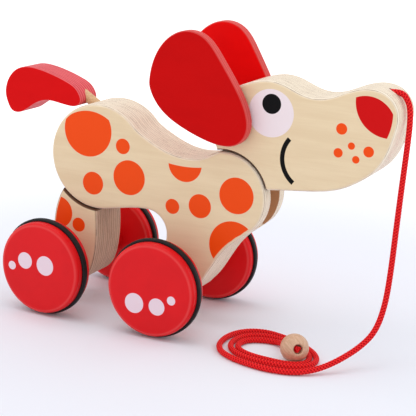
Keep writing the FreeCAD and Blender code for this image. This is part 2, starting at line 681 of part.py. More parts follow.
def makeCord():
    """Straight runs joined by tangent arcs, swept with the cord's round section."""
    points = [Vector(*place) for place in CORD_ROUTE] + [beadCentre() + BEAD_AXIS * beadMouth()]
    edges, radii = [], []
    pen = points[0]
    for before, corner, after in zip(points, points[1:], points[2:]):
        back, ahead = before - corner, after - corner
        half = (math.pi - back.getAngle(ahead)) / 2
        reach = ARC_SHARE * min(back.Length, ahead.Length)
        radius = reach / math.tan(half)
        back.normalize()
        ahead.normalize()
        first, last = corner + back * reach, corner + ahead * reach
        middle = corner + (back + ahead).normalize() * (radius / math.cos(half) - radius)
        edges.append(Part.LineSegment(pen, first).toShape())
        edges.append(Part.Arc(first, middle, last).toShape())
        radii.append(round(radius, 1))
        pen = last
    edges.append(Part.LineSegment(pen, points[-1]).toShape())
    path = Part.Wire(edges)
    way = (points[1] - points[0]).normalize()
    section = Part.Wire([Part.Circle(points[0], way, size("cord_diameter") / 2).toShape()])
    cord = doc.addObject("Part::Feature", "pull_cord")
    cord.Label = "pull_cord"
    cord.Shape = path.makePipeShell([section], True, False)
    expected = math.pi * (size("cord_diameter") / 2) ** 2 * path.Length
    print("cord length %.1f, volume %.1f of %.1f, radii %s"
          % (path.Length, cord.Shape.Volume, expected, radii))


def alongBead(body, depth):
    """Set a turned piece on the bead's axis, this far in front of the bead's middle."""
    body.Placement = Placement(beadCentre() + BEAD_AXIS * depth,
                               Rotation(Vector(0, 0, 1), BEAD_AXIS))


def makeBead():
    bead = newBody("pull_bead")
    ball = bead.newObject("PartDesign::AdditiveSphere", "bead_ball")
    ball.setExpression("Radius", "Sizes.bead_radius")
    for name, radius, start in (
            ("bead_hole", "Sizes.cord_diameter / 2 + Sizes.cord_bore_play", "-2 * Sizes.bead_radius"),
            ("bead_mouth", "Sizes.knot_radius + Sizes.knot_gap",
             "Sizes.bead_radius - Sizes.knot_sink")):
        hole = bead.newObject("PartDesign::SubtractiveCylinder", name)
        hole.setExpression("Radius", radius)
        hole.setExpression("Height", "4 * Sizes.bead_radius")
        hole.setExpression("Placement.Base.z", start)
        doc.recompute()
    alongBead(bead, 0)
    knot = newBody("cord_knot")
    lump = knot.newObject("PartDesign::AdditiveCylinder", "knot_lump")
    lump.setExpression("Radius", "Sizes.knot_radius")
    lump.setExpression("Height", "Sizes.knot_length")
    doc.recompute()
    roundEdges(knot, "knot_round", "Sizes.knot_radius / 3", isRing(size("knot_radius")))
    alongBead(knot, beadMouth())


# ---- build, check and write -------------------------------------------------------------

def subParts():
    kinds = ("PartDesign::Body", "Part::Feature")
    return [item for item in doc.Objects if item.TypeId in kinds]


def check():
    faults = []
    for item in doc.Objects:
        if "Invalid" in item.State or "Error" in item.State:
            faults.append("%s: %s" % (item.Label, item.State))
    for item in subParts():
        if item.Shape.isNull() or not item.Shape.isValid() or item.Shape.Volume <= 0:
            faults.append("%s: bad shape" % item.Label)
        elif len(item.Shape.Solids) != 1:
            faults.append("%s: %d solids" % (item.Label, len(item.Shape.Solids)))
    if faults:
        raise SystemExit("; ".join(faults))


def write():
    os.makedirs("parts", exist_ok=True)
    for item in subParts():
        item.Shape.exportStep(os.path.join("parts", item.Label + ".step"))
    print("%d sub-parts written" % len(subParts()))


makeBody()
makeHead()
makeEars()
makeRearLeg()
makeTail()
makeWheels()
makeCord()
makeBead()
doc.recompute()
check()
write()
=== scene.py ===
import json
import math

import bpy
from mathutils import Matrix, Vector


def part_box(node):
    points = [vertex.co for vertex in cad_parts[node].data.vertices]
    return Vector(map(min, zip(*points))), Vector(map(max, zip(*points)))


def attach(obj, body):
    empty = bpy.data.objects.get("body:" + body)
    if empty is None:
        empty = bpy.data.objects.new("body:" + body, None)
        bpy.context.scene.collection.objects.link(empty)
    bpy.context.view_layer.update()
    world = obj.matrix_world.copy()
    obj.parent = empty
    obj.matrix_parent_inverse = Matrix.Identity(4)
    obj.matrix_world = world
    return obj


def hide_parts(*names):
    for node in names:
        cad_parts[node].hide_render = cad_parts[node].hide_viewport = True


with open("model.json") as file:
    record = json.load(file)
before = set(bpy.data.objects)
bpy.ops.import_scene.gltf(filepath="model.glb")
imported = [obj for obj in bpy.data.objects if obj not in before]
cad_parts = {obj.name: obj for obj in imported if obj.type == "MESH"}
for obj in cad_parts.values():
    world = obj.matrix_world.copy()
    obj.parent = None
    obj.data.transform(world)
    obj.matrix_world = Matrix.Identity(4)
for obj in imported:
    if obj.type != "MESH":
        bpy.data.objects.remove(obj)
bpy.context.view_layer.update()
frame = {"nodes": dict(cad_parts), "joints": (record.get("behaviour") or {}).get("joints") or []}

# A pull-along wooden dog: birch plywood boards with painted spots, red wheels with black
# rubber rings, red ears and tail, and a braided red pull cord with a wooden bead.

nodes = frame["nodes"]
joints = {joint["name"]: joint for joint in frame["joints"]}
mm = 0.001


def linearColor(hexColor):
    values = []
    for start in (1, 3, 5):
        share = int(hexColor[start:start + 2], 16) / 255
        values.append(share / 12.92 if share <= 0.04045 else ((share + 0.055) / 1.055) ** 2.4)
    return (*values, 1.0)


def makeActive(piece):
    if bpy.context.object and bpy.context.object.mode != "OBJECT":
        bpy.ops.object.mode_set(mode="OBJECT")
    bpy.ops.object.select_all(action="DESELECT")
    if piece:
        piece.select_set(True)
        bpy.context.view_layer.objects.active = piece


def meshPiece(name, vertices, edges, faces):
    mesh = bpy.data.meshes.new(name)
    mesh.from_pydata(vertices, edges, faces)
    piece = bpy.data.objects.new(name, mesh)
    bpy.context.collection.objects.link(piece)
    return piece


cameraView = {
    "azimuth": 24.63,              # degrees round the dog from its right side
    "height": 14.67,               # degrees above the floor
    "roll": 2.35,
    "away": 0.9998,                # metres from the target
    "target": (0.0127, 0.0, 0.0918),
    "lens": 110.1,
}


def makeCamera():
    turn = math.radians(cameraView["azimuth"])
    rise = math.radians(cameraView["height"])
    roll = math.radians(cameraView["roll"])
    back = Vector((math.sin(turn) * math.cos(rise), -math.cos(turn) * math.cos(rise),
                   math.sin(rise)))
    right = Vector((math.cos(turn), math.sin(turn), 0))
    up = back.cross(right)
    tiltedRight = right * math.cos(roll) + up * math.sin(roll)
    tiltedUp = up * math.cos(roll) - right * math.sin(roll)
    place = Matrix((tiltedRight, tiltedUp, back)).transposed().to_4x4()
    place.translation = Vector(cameraView["target"]) + back * cameraView["away"]
    makeActive(None)
    bpy.ops.object.camera_add()
    camera = bpy.context.object
    camera.name = "studioCamera"
    camera.data.lens = cameraView["lens"]
    camera.data.sensor_width = 36
    camera.data.clip_end = 60
    camera.matrix_world = place
    bpy.context.scene.camera = camera


makeCamera()
print("camera placed")

cordValues = {
    "diameter": 4.4 * mm,
    "length": 0.812,               # metres, from the nose to the knot in the bead
    "strands": 4,                  # strands that run each way round
    "lay": 9.6 * mm,               # length in which a strand goes once round
    "crest": 1.02,                 # the strands' tops, of the radius
    "relief": 0.14,                # depth of the valleys between strands, of the radius
    "step": 0.40 * mm,
    "sides": 24,
}

# From the hole in the nose down to the floor, three times round and into the bead.
cordRoute = [
    (0.147, -0.001, 0.1976), (0.1606, -0.001, 0.2014), (0.1688, -0.003, 0.194),
    (0.1712, -0.005, 0.182), (0.1708, -0.006, 0.163), (0.1694, -0.007, 0.134),
    (0.1682, -0.009, 0.1), (0.1676, -0.012, 0.068), (0.1672, -0.019, 0.044),
    (0.1643, -0.028, 0.027), (0.1575, -0.038, 0.0175), (0.148, -0.051, 0.0103),
    (0.1375, -0.063, 0.005), (0.1265, -0.0725, 0.0027), (0.115, -0.0778, 0.00225),
    (0.102, -0.0796, 0.00225), (0.091, -0.0784, 0.00225), (0.08, -0.076, 0.00225),
    (0.069, -0.072, 0.00225), (0.06, -0.0665, 0.00225), (0.0535, -0.059, 0.00225),
    (0.0495, -0.049, 0.00225), (0.0485, -0.037, 0.00225), (0.0505, -0.025, 0.00225),
    (0.056, -0.016, 0.00225), (0.064, -0.0105, 0.00225), (0.074, -0.0088, 0.00225),
    (0.086, -0.012, 0.00225), (0.098, -0.0165, 0.00225), (0.11, -0.024, 0.00225),
    (0.12, -0.033, 0.00225), (0.126, -0.043, 0.00225), (0.127, -0.054, 0.00225),
    (0.1218, -0.063, 0.00225), (0.113, -0.0672, 0.00225), (0.1035, -0.0686, 0.00225),
    (0.094, -0.0688, 0.00225), (0.084, -0.068, 0.00225), (0.075, -0.0653, 0.00225),
    (0.0668, -0.0604, 0.00225), (0.06, -0.053, 0.00225), (0.0566, -0.043, 0.00225),
    (0.0573, -0.032, 0.00225), (0.0618, -0.0236, 0.00225), (0.0695, -0.0184, 0.00225),
    (0.079, -0.0166, 0.00225), (0.0885, -0.0185, 0.00225), (0.0985, -0.0226, 0.00225),
    (0.1085, -0.029, 0.00225), (0.1168, -0.037, 0.00225), (0.1213, -0.046, 0.00225),
    (0.1212, -0.055, 0.00225), (0.1158, -0.0612, 0.00225), (0.106, -0.0632, 0.00225),
    (0.095, -0.0626, 0.00225), (0.0845, -0.0616, 0.00225), (0.0755, -0.059, 0.00225),
    (0.0683, -0.0546, 0.00225), (0.0636, -0.048, 0.00225), (0.0628, -0.04, 0.00225),
    (0.0656, -0.0328, 0.00225), (0.0718, -0.028, 0.00225), (0.0805, -0.0254, 0.00225),
    (0.0915, -0.0263, 0.0029), (0.11293, -0.05349, 0.01174),
]


# The smooth line that the cord's control points give.
def splineLine(name, places, closed=False):
    curve = bpy.data.curves.new(name, "CURVE")
    curve.dimensions = "3D"
    curve.resolution_u = 32
    spline = curve.splines.new("NURBS")
    spline.points.add(len(places) - 1)
    for point, place in zip(spline.points, places):
        point.co = (*place, 1)
    spline.order_u = 3
    if closed:
        spline.use_cyclic_u = True
    else:
        spline.use_endpoint_u = True
    holder = bpy.data.objects.new(name, curve)
    bpy.context.collection.objects.link(holder)
    bpy.context.view_layer.update()
    line = bpy.data.meshes.new_from_object(
        holder.evaluated_get(bpy.context.evaluated_depsgraph_get()))
    path = [vertex.co.copy() for vertex in line.vertices]
    bpy.data.objects.remove(holder)
    bpy.data.curves.remove(curve)
    bpy.data.meshes.remove(line)
    return path


# The same line again, in equal steps.
def evenSteps(path, step):
    total = sum((after - before).length for before, after in zip(path, path[1:]))
    count = max(2, round(total / step))
    places, index, walked = [], 0, 0.0
    for number in range(count + 1):
        target = min(total, total * number / count)
        while index < len(path) - 2 and walked + (path[index + 1] - path[index]).length < target:
            walked += (path[index + 1] - path[index]).length
            index += 1
        span = (path[index + 1] - path[index]).length
        share = 0 if span == 0 else min(1, (target - walked) / span)
        places.append(path[index].lerp(path[index + 1], share))
    return places, total


# A braided tube: strands run both ways round and the higher one shows at each place.
def braidedTube(name, path, radius, closed=False):
    places, total = evenSteps(path, cordValues["step"])
    if closed:
        places = places[:-1]
    count, sides = len(places), cordValues["sides"]
    turns = 2 * math.pi / cordValues["lay"]
    vertices, heights = [], []
    before = None
    side = None
    for number, place in enumerate(places):
        ahead = places[(number + 1) % count] if closed else places[min(number + 1, count - 1)]
        behind = places[number - 1] if closed else places[max(number - 1, 0)]
        way = (ahead - behind).normalized()
        if side is None:
            side = way.orthogonal().normalized()
        else:
            side = before.rotation_difference(way) @ side
            side = (side - way * side.dot(way)).normalized()
        before = way
        other = way.cross(side)
        along = number * total / count * turns
        for corner in range(sides):
            angle = 2 * math.pi * corner / sides
            oneWay = 0.5 + 0.5 * math.cos(cordValues["strands"] * (angle - along))
            otherWay = 0.5 + 0.5 * math.cos(cordValues["strands"] * (angle + along))
            height = max(oneWay, otherWay)
            reach = radius * (cordValues["crest"] - cordValues["relief"] * (1 - height))
            vertices.append(place + (side * math.cos(angle) + other * math.sin(angle)) * reach)
            heights.append(height)
    faces = []
    for number in range(count if closed else count - 1):
        first, second = number * sides, ((number + 1) % count) * sides
        for corner in range(sides):
            after = (corner + 1) % sides
            faces.append((first + corner, first + after, second + after, second + corner))
    if not closed:
        faces.append(tuple(reversed(range(sides))))
        faces.append(tuple(range((count - 1) * sides, count * sides)))
    tube = meshPiece(name, vertices, [], faces)
    weave = tube.data.attributes.new("weave", "FLOAT", "POINT")
    weave.data.foreach_set("value", heights)
    for face in tube.data.polygons:
        face.use_smooth = len(face.vertices) == 4
    return tube, total


cordPath = splineLine("cordLine", cordRoute)
pullCord, cordTotal = braidedTube("pullCordBraid", cordPath, cordValues["diameter"] / 2)
print("cord %.1f mm" % (cordTotal / mm))

knotValues = {
    "reach": 0.66 * mm,            # size of the knot's loops
    "strand": 1.02 * mm,           # radius of the tightened cord in it
    "lift": 0.95 * mm,
    "rise": 2.6 * mm,              # the knot's middle, outward from the cord's end
    "points": 30,
}


# A tightened overhand knot, which keeps the cord in the bead.
def makeKnot():
    end, before = Vector(cordRoute[-1]), Vector(cordRoute[-2])
    way = (end - before).normalized()
    across = way.orthogonal().normalized()
    over = way.cross(across)
    middle = end + way * knotValues["rise"]
    places = []
    for number in range(knotValues["points"]):
        turn = 2 * math.pi * number / knotValues["points"]
        places.append(middle + (
            across * (math.sin(turn) + 2 * math.sin(2 * turn)) * knotValues["reach"]
            + over * (math.cos(turn) - 2 * math.cos(2 * turn)) * knotValues["reach"]
            - way * math.sin(3 * turn) * knotValues["lift"]))
    path = splineLine("knotLine", places, closed=True)
    return braidedTube("knotBraid", path + [path[0]], knotValues["strand"], closed=True)[0]


knotPiece = makeKnot()


# Points of a rounded outline from corners given as radius, height and rounding.
def roundedProfile(corners, steps=7):
    points = []
    for number, (reach, rise, rounding) in enumerate(corners):
        corner = Vector((reach, rise))
        if not rounding:
            points.append(corner)
            continue
        back = (Vector(corners[number - 1][:2]) - corner).normalized()
        ahead = (Vector(corners[number + 1][:2]) - corner).normalized()
        half = back.angle(ahead) / 2
        middle = corner + (back + ahead).normalized() * (rounding / math.sin(half))
        first = corner + back * (rounding / math.tan(half)) - middle
        last = corner + ahead * (rounding / math.tan(half)) - middle
        for step in range(steps + 1):
            share = step / steps
            points.append(middle + (first * (1 - share) + last * share).normalized() * rounding)
    return points


# Turn an outline round the Z axis, as on a lathe.
def turnedPiece(name, points, steps, closed=False):
    count = len(points)
    edges = [(number, number + 1) for number in range(count - 1)]
    if closed:
        edges.append((count - 1, 0))
    piece = meshPiece(name, [(point.x, 0, point.y) for point in points], edges, [])
    makeActive(piece)
    bpy.ops.object.mode_set(mode="EDIT")
    bpy.ops.mesh.select_all(action="SELECT")
    bpy.ops.mesh.spin(steps=steps, angle=2 * math.pi, center=(0, 0, 0), axis=(0, 0, 1))
    bpy.ops.mesh.select_all(action="SELECT")
    bpy.ops.mesh.remove_doubles(threshold=0.01 * mm)
    bpy.ops.mesh.normals_make_consistent(inside=False)
    bpy.ops.object.mode_set(mode="OBJECT")
    bpy.ops.object.shade_smooth_by_angle(angle=math.radians(40))
    return piece


# Set a piece that stands on the Z axis at a place, its Z along a direction.
def setAlong(piece, place, way):
    turn = Vector((0, 0, 1)).rotation_difference(way).to_matrix().to_4x4()
    piece.data.transform(Matrix.Translation(place) @ turn)
    piece.data.update()


beadValues = {
    "radius": 10.65 * mm,
    "hole": 2.4 * mm,              # radius where the cord goes in
    "mouth": 3.5 * mm,             # radius of the wide front hole
    "floor": 4.2 * mm,             # bottom of the front hole, from the middle
    "softness": 0.9 * mm,          # rounding of the holes' rims
    "rings": 40,                   # from one hole to the other
    "steps": 72,
}


def makeBead():
    radius, hole, mouth = beadValues["radius"], beadValues["hole"], beadValues["mouth"]
    soft = beadValues["softness"]
    points = [Vector((hole, beadValues["floor"]))]
    low = math.asin((hole + soft) / radius)
    high = math.asin((mouth + soft) / radius)
    points.append(Vector((hole, -radius * math.cos(low) + soft)))
    points.append(Vector((hole + soft * 0.3, -radius * math.cos(low) + soft * 0.28)))
    for step in range(beadValues["rings"] + 1):
        turn = low + (math.pi - low - high) * step / beadValues["rings"]
        points.append(Vector((radius * math.sin(turn), -radius * math.cos(turn))))
    points.append(Vector((mouth + soft * 0.3, radius * math.cos(high) - soft * 0.28)))
    points.append(Vector((mouth, radius * math.cos(high) - soft)))
    points.append(Vector((mouth, beadValues["floor"])))
    bead = turnedPiece("beadTurned", points, beadValues["steps"], closed=True)
    low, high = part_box("pull_bead")
    way = (Vector(cordRoute[-1]) - Vector(cordRoute[-2])).normalized()
    setAlong(bead, (Vector(low) + Vector(high)) / 2, way)
    return bead


beadPiece = makeBead()
print("bead and knot made")

wheelValues = {
    "radius": 36.8 * mm,
    "thickness": 19 * mm,
    "softness": 3.2 * mm,          # rounding of the rim
    "bore": 5 * mm,
    "boreDepth": 12 * mm,
    "grooveWidth": 5.2 * mm,
    "grooveDepth": 2.0 * mm,
    "ringProud": 2.0 * mm,
    "ringSoftness": 1.3 * mm,
    "steps": 120,
}

# How each wheel happens to have stopped: its spots' turn in degrees and their shift.
wheelStops = {
    "front_wheel_right": (0, 6.5, -11.6),
    "rear_wheel_right": (176, -13.2, 4.5),
    "front_wheel_left": (120, 2.0, 12.5),
    "rear_wheel_left": (-75, -10.5, -6.0),
}


def wheelOutline():
    radius, thick = wheelValues["radius"], wheelValues["thickness"]
    low = (thick - wheelValues["grooveWidth"]) / 2
    high = (thick + wheelValues["grooveWidth"]) / 2
    floor = radius - wheelValues["grooveDepth"]
    soft = wheelValues["softness"]
    corners = [
        (wheelValues["bore"], wheelValues["boreDepth"], 0), (wheelValues["bore"], 0, 0.5 * mm),
        (radius * 0.45, 0, 0), (radius, 0, soft), (radius, low, 0.35 * mm), (floor, low, 0),
        (floor, high, 0), (radius, high, 0.35 * mm), (radius, thick, soft),
        (radius * 0.72, thick, 0), (radius * 0.36, thick, 0), (0, thick, 0),
    ]
    points = roundedProfile(corners)
    points.insert(0, Vector((0, wheelValues["boreDepth"])))
    return points


def ringOutline():
    radius, thick = wheelValues["radius"], wheelValues["thickness"]
    low = (thick - wheelValues["grooveWidth"]) / 2 + 0.03 * mm
    high = (thick + wheelValues["grooveWidth"]) / 2 - 0.03 * mm
    floor = radius - wheelValues["grooveDepth"] + 0.02 * mm
    outer = radius + wheelValues["ringProud"]
    return roundedProfile([
        (floor, low, 0), (floor, (low + high) / 2, 0), (floor, high, 0),
        (outer, high, wheelValues["ringSoftness"]), (outer, low, wheelValues["ringSoftness"]),
        (floor, low, 0)])[:-1]


# The wheel's outer face carries its own flat map, in tenths of a metre round the mid spot.
def mapWheelFace(wheel, stop, middle, outward):
    turn, shiftAcross, shiftUp = stop
    across = Vector((0, 0, 1)).cross(outward)
    if across.x < 0:
        across.negate()
    turning = Matrix.Rotation(-math.radians(turn), 2)
    offFace = Vector((5.0, 5.0))           # clear of every spot
    faceMap = wheel.data.uv_layers.new(name="face")
    for polygon in wheel.data.polygons:
        outer = polygon.normal.dot(outward) > 0.9 and (
            (polygon.center - middle).dot(outward) > wheelValues["thickness"] * 0.3)
        for loop in polygon.loop_indices:
            spot = wheel.data.vertices[wheel.data.loops[loop].vertex_index].co - middle
            flat = turning @ Vector((spot.dot(across) - shiftAcross * mm, spot.z - shiftUp * mm))
            faceMap.data[loop].uv = flat * 10 if outer else offFace


def makeWheels():
    wheelMaster = turnedPiece("wheelMaster", wheelOutline(), wheelValues["steps"])
    ringMaster = turnedPiece("ringMaster", ringOutline(), wheelValues["steps"], closed=True)
    fromAxis = wheelMaster.data.attributes.new("fromAxis", "FLOAT", "POINT")    # mm
    for number, vertex in enumerate(wheelMaster.data.vertices):
        fromAxis.data[number].value = vertex.co.xy.length / mm
    made = {}
    for end in ("front", "rear"):
        axis = Vector(joints[end + "_axle_spin"]["axis"]).normalized()
        for hand, sign in (("right", -1), ("left", 1)):
            node = "%s_wheel_%s" % (end, hand)
            low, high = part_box(node)
            middle = (Vector(low) + Vector(high)) / 2
            outward = axis * sign
            for master, kind in ((wheelMaster, "wheel"), (ringMaster, "tyre")):
                piece = master.copy()
                piece.data = master.data.copy()
                piece.name = "%s%sTurned%s" % (end, kind.title(), hand.title())
                bpy.context.collection.objects.link(piece)
                setAlong(piece, middle - outward * wheelValues["thickness"] / 2, outward)
                made["%s_%s_%s" % (end, kind, hand)] = piece
                if kind == "wheel":
                    mapWheelFace(piece, wheelStops[node], middle, outward)
    for master in (wheelMaster, ringMaster):
        bpy.data.objects.remove(master)
    return made


wheelPieces = makeWheels()
print("wheels turned")


# Adds a node with its settings and its inputs; an input is a value or another node's output.
def addNode(tree, kind, settings, inputs):
    node = tree.nodes.new(kind)
    for name, value in settings.items():
        setattr(node, name, value)
    for name, value in inputs.items():
        if isinstance(value, bpy.types.NodeSocket):
            tree.links.new(value, node.inputs[name])
        else:
            node.inputs[name].default_value = value
    return node


def newMaterial(name):
    material = bpy.data.materials.new(name)
    material.use_nodes = True
    tree = material.node_tree
    tree.nodes.clear()
    shader = tree.nodes.new("ShaderNodeBsdfPrincipled")
    output = tree.nodes.new("ShaderNodeOutputMaterial")
    tree.links.new(shader.outputs["BSDF"], output.inputs["Surface"])
    return material, tree, shader


# Object coordinates in millimetres, and the surface's normal.
def placeInMm(tree):
    coordinates = addNode(tree, "ShaderNodeTexCoord", {}, {})
    scaled = addNode(tree, "ShaderNodeVectorMath", {"operation": "SCALE"},
                     {0: coordinates.outputs["Object"], "Scale": 1000.0})
    return scaled.outputs["Vector"], coordinates.outputs["Normal"]


# Noise with its own feature size along each axis, in millimetres.
def stretchedNoise(tree, place, sizes, detail=3.0, roughness=0.55, warp=0.0):
    stretched = addNode(tree, "ShaderNodeVectorMath", {"operation": "DIVIDE"},
                        {0: place, 1: sizes})
    return addNode(tree, "ShaderNodeTexNoise", {},
                   {"Vector": stretched.outputs["Vector"], "Scale": 1.0, "Detail": detail,
                    "Roughness": roughness, "Distortion": warp}).outputs["Fac"]


def softStep(tree, value, start, end, low=0.0, high=1.0):
    return addNode(tree, "ShaderNodeMapRange", {"interpolation_type": "SMOOTHSTEP"},
                   {"Value": value, "From Min": start, "From Max": end,
                    "To Min": low, "To Max": high}).outputs["Result"]


def blendColors(tree, share, first, second, mode="MIX"):
    mix = addNode(tree, "ShaderNodeMix", {"data_type": "RGBA", "blend_type": mode},
                  {0: share, 6: first, 7: second})
    return mix.outputs[2]


# Painted shapes, each where all of its circles agree: across, up, radius in millimetres,
# and True for inside the circle. The result is 1 on the paint.
def paintedShapes(tree, place, shapes, softness=0.12):
    union = None
    for circles in shapes:
        shape = None
        for across, up, radius, inside in circles:
            away = addNode(tree, "ShaderNodeVectorMath", {"operation": "DISTANCE"},
                           {0: place, 1: (across, 0.0, up)}).outputs["Value"]
            edge = addNode(tree, "ShaderNodeMath", {"operation": "SUBTRACT"},
                           {0: away if inside else radius, 1: radius if inside else away})
            shape = edge.outputs[0] if shape is None else addNode(
                tree, "ShaderNodeMath", {"operation": "MAXIMUM"},
                {0: shape, 1: edge.outputs[0]}).outputs[0]
        union = shape if union is None else addNode(
            tree, "ShaderNodeMath", {"operation": "MINIMUM"}, {0: union, 1: shape}).outputs[0]
    return softStep(tree, union, softness, -softness)


def flattened(tree, place):
    return addNode(tree, "ShaderNodeVectorMath", {"operation": "MULTIPLY"},
                   {0: place, 1: (1.0, 0.0, 1.0)}).outputs["Vector"]


# 1 where a board shows its face and 0 round its sawn edge.
def boardFace(tree, normal, start, end):
    apart = addNode(tree, "ShaderNodeSeparateXYZ", {}, {0: normal})
    size = addNode(tree, "ShaderNodeMath", {"operation": "ABSOLUTE"}, {0: apart.outputs["Y"]})
    return softStep(tree, size.outputs[0], start, end)


plyValues = {
    "layer": 1.55,                 # thickness of one veneer, mm
    "faceLight": "#EBD6B3",
    "faceDark": "#E5CEAA",
    "facePore": "#CDAE86",
    "inside": "#BC8A63",           # bare faces inside the slots, darkened as painted shade
    "hollowShade": "#6A4A38",            # painted shade on the sawn hollows in the joint gaps at shoulder and rump
    "roughness": 0.46,
    "paintRoughness": 0.36,
    "paintedFrom": (11.0, 13.0),   # how far out the outer faces begin, mm
}
plyEdges = ("#FFF5E2", "#F3E3CA", "#86664C")        # light veneer, dark veneer, glue


# The sawn edge of plywood: veneers of long grain and end grain by turns, with thin glue lines.
def veneerEdge(tree, place, light, dark, glue):
    apart = addNode(tree, "ShaderNodeSeparateXYZ", {}, {0: place})
    wander = stretchedNoise(tree, place, (22.0, 40.0, 22.0), 2.0)
    shifted = addNode(tree, "ShaderNodeMath", {"operation": "MULTIPLY_ADD"},
                      {0: wander, 1: 0.9, 2: apart.outputs["Y"]})
    counted = addNode(tree, "ShaderNodeMath", {"operation": "DIVIDE"},
                      {0: shifted.outputs[0], 1: plyValues["layer"]})
    folded = addNode(tree, "ShaderNodeMath", {"operation": "PINGPONG"},
                     {0: counted.outputs[0], 1: 1.0}).outputs[0]
    grainWay = softStep(tree, folded, 0.38, 0.62)
    fibres = stretchedNoise(tree, place, (7.0, 0.22, 7.0), 3.0, 0.6)
    mottled = softStep(tree, fibres, 0.34, 0.76, 0.0, 0.32)
    veneer = blendColors(tree, grainWay, linearColor(light), linearColor(dark))
    fibrous = blendColors(tree, mottled, veneer, linearColor(glue))
    middle = addNode(tree, "ShaderNodeMath", {"operation": "SUBTRACT"}, {0: folded, 1: 0.5})
    near = addNode(tree, "ShaderNodeMath", {"operation": "ABSOLUTE"}, {0: middle.outputs[0]})
    thin = softStep(tree, near.outputs[0], 0.15, 0.03)
    broken = stretchedNoise(tree, place, (16.0, 2.1, 16.0), 3.0, 0.65)    # lines fade and return
    shown = softStep(tree, broken, 0.45, 0.62, 0.22, 1.0)
    line = addNode(tree, "ShaderNodeMath", {"operation": "MULTIPLY"}, {0: thin, 1: shown})
    return blendColors(tree, line.outputs[0], fibrous, linearColor(glue))


# Birch plywood, sanded and clear-varnished: a smooth pale face with faint long grain and fine
# pores, and paler veneer lines round the edges. The spots are orange enamel. Faces inside the
# slots are darker, painted shade.
def birchPlywood(name, layers, edgeColors=plyEdges, hollowShadeCircle=None):
    material, tree, shader = newMaterial(name)
    place, normal = placeInMm(tree)
    broad = stretchedNoise(tree, place, (55.0, 30.0, 9.0), 2.0, 0.5, 0.4)
    grain = stretchedNoise(tree, place, (26.0, 6.0, 1.1), 4.0, 0.6, 0.15)
    pores = stretchedNoise(tree, place, (5.0, 3.0, 0.34), 2.0, 0.5)
    both = addNode(tree, "ShaderNodeMath", {"operation": "MULTIPLY_ADD"},
                   {0: grain, 1: 0.55, 2: broad})
    tone = softStep(tree, both.outputs[0], 0.55, 1.02)
    face = blendColors(tree, tone, linearColor(plyValues["faceLight"]),
                       linearColor(plyValues["faceDark"]))
    poreShare = softStep(tree, pores, 0.66, 0.8, 0.0, 0.45)
    face = blendColors(tree, poreShare, face, linearColor(plyValues["facePore"]))
    flat = flattened(tree, place)
    edge = veneerEdge(tree, place, *edgeColors)
    # The sawn hollow round a joint is darkened as painted shade in the gap.
    if hollowShadeCircle:
        edge = blendColors(tree, paintedShapes(tree, flat, [[(*hollowShadeCircle, True)]], 0.4), edge,
                           linearColor(plyValues["hollowShade"]))
    deep = addNode(tree, "ShaderNodeSeparateXYZ", {}, {0: place})
    depth = addNode(tree, "ShaderNodeMath", {"operation": "ABSOLUTE"}, {0: deep.outputs["Y"]})
    outside = softStep(tree, depth.outputs[0], *plyValues["paintedFrom"])
    # Faces inside the slots take a darker colour: painted shade.
    face = blendColors(tree, outside, linearColor(plyValues["inside"]), face)
    color = blendColors(tree, boardFace(tree, normal, 0.8, 0.97), edge, face)
    height = grain
    rough = None
    onFace = boardFace(tree, normal, 0.975, 0.99)
    onOutside = addNode(tree, "ShaderNodeMath", {"operation": "MULTIPLY"},
                        {0: onFace, 1: outside}).outputs[0]
    for paint, shapes in layers:
        shape = paintedShapes(tree, flat, shapes)
        painted = addNode(tree, "ShaderNodeMath", {"operation": "MULTIPLY"},
                          {0: shape, 1: onOutside}).outputs[0]
        color = blendColors(tree, painted, color, linearColor(paint))
        height = addNode(tree, "ShaderNodeMath", {"operation": "MAXIMUM"},
                         {0: height, 1: painted}).outputs[0]
        if rough is None:
            rough = softStep(tree, painted, 0.0, 1.0, plyValues["roughness"],
                             plyValues["paintRoughness"])
    bump = addNode(tree, "ShaderNodeBump", {}, {"Strength": 0.28, "Distance": 0.06 * mm,
                                                "Height": height})
    tree.links.new(color, shader.inputs["Base Color"])
    tree.links.new(bump.outputs["Normal"], shader.inputs["Normal"])
    shader.inputs["Roughness"].default_value = plyValues["roughness"]
    if rough is not None:
        tree.links.new(rough, shader.inputs["Roughness"])
    shader.inputs["Specular IOR Level"].default_value = 0.1
    return material


# Red enamel on a plywood board: opaque and satin on the faces, and a thinner red stain
# round the edges that lets the veneers show.
def redBoard(name, face, edgeColors):
    material, tree, shader = newMaterial(name)
    place, normal = placeInMm(tree)
    cloud = stretchedNoise(tree, place, (30.0, 20.0, 12.0), 3.0)
    grain = stretchedNoise(tree, place, (24.0, 4.0, 1.4), 3.0)
    tone = softStep(tree, cloud, 0.3, 0.75, 0.0, 0.35)
    paint = blendColors(tree, tone, linearColor(face[0]), linearColor(face[1]))
    edge = veneerEdge(tree, place, *edgeColors)
    color = blendColors(tree, boardFace(tree, normal, 0.72, 0.94), edge, paint)
    bump = addNode(tree, "ShaderNodeBump", {}, {"Strength": 0.2, "Distance": 0.05 * mm,
                                                "Height": grain})
    tree.links.new(color, shader.inputs["Base Color"])
    tree.links.new(bump.outputs["Normal"], shader.inputs["Normal"])
    shader.inputs["Roughness"].default_value = 0.42
    shader.inputs["Specular IOR Level"].default_value = 0.04
    return material


wheelPaint = {
    "red": "#E2141B",
    "deep": "#D51018",
    "rim": "#F0605E",          # painted highlight where the face turns into the rim, where the paint is also thin
    "rimWear": 34.6,           # how far out that is, mm
    "spots": [[(-19.3, -0.3, 7.9, True)], [(0.0, 0.0, 6.7, True)], [(12.1, 7.0, 3.5, True)]],
    "roughness": 0.33,
    "spot": "#EED8E2",
}
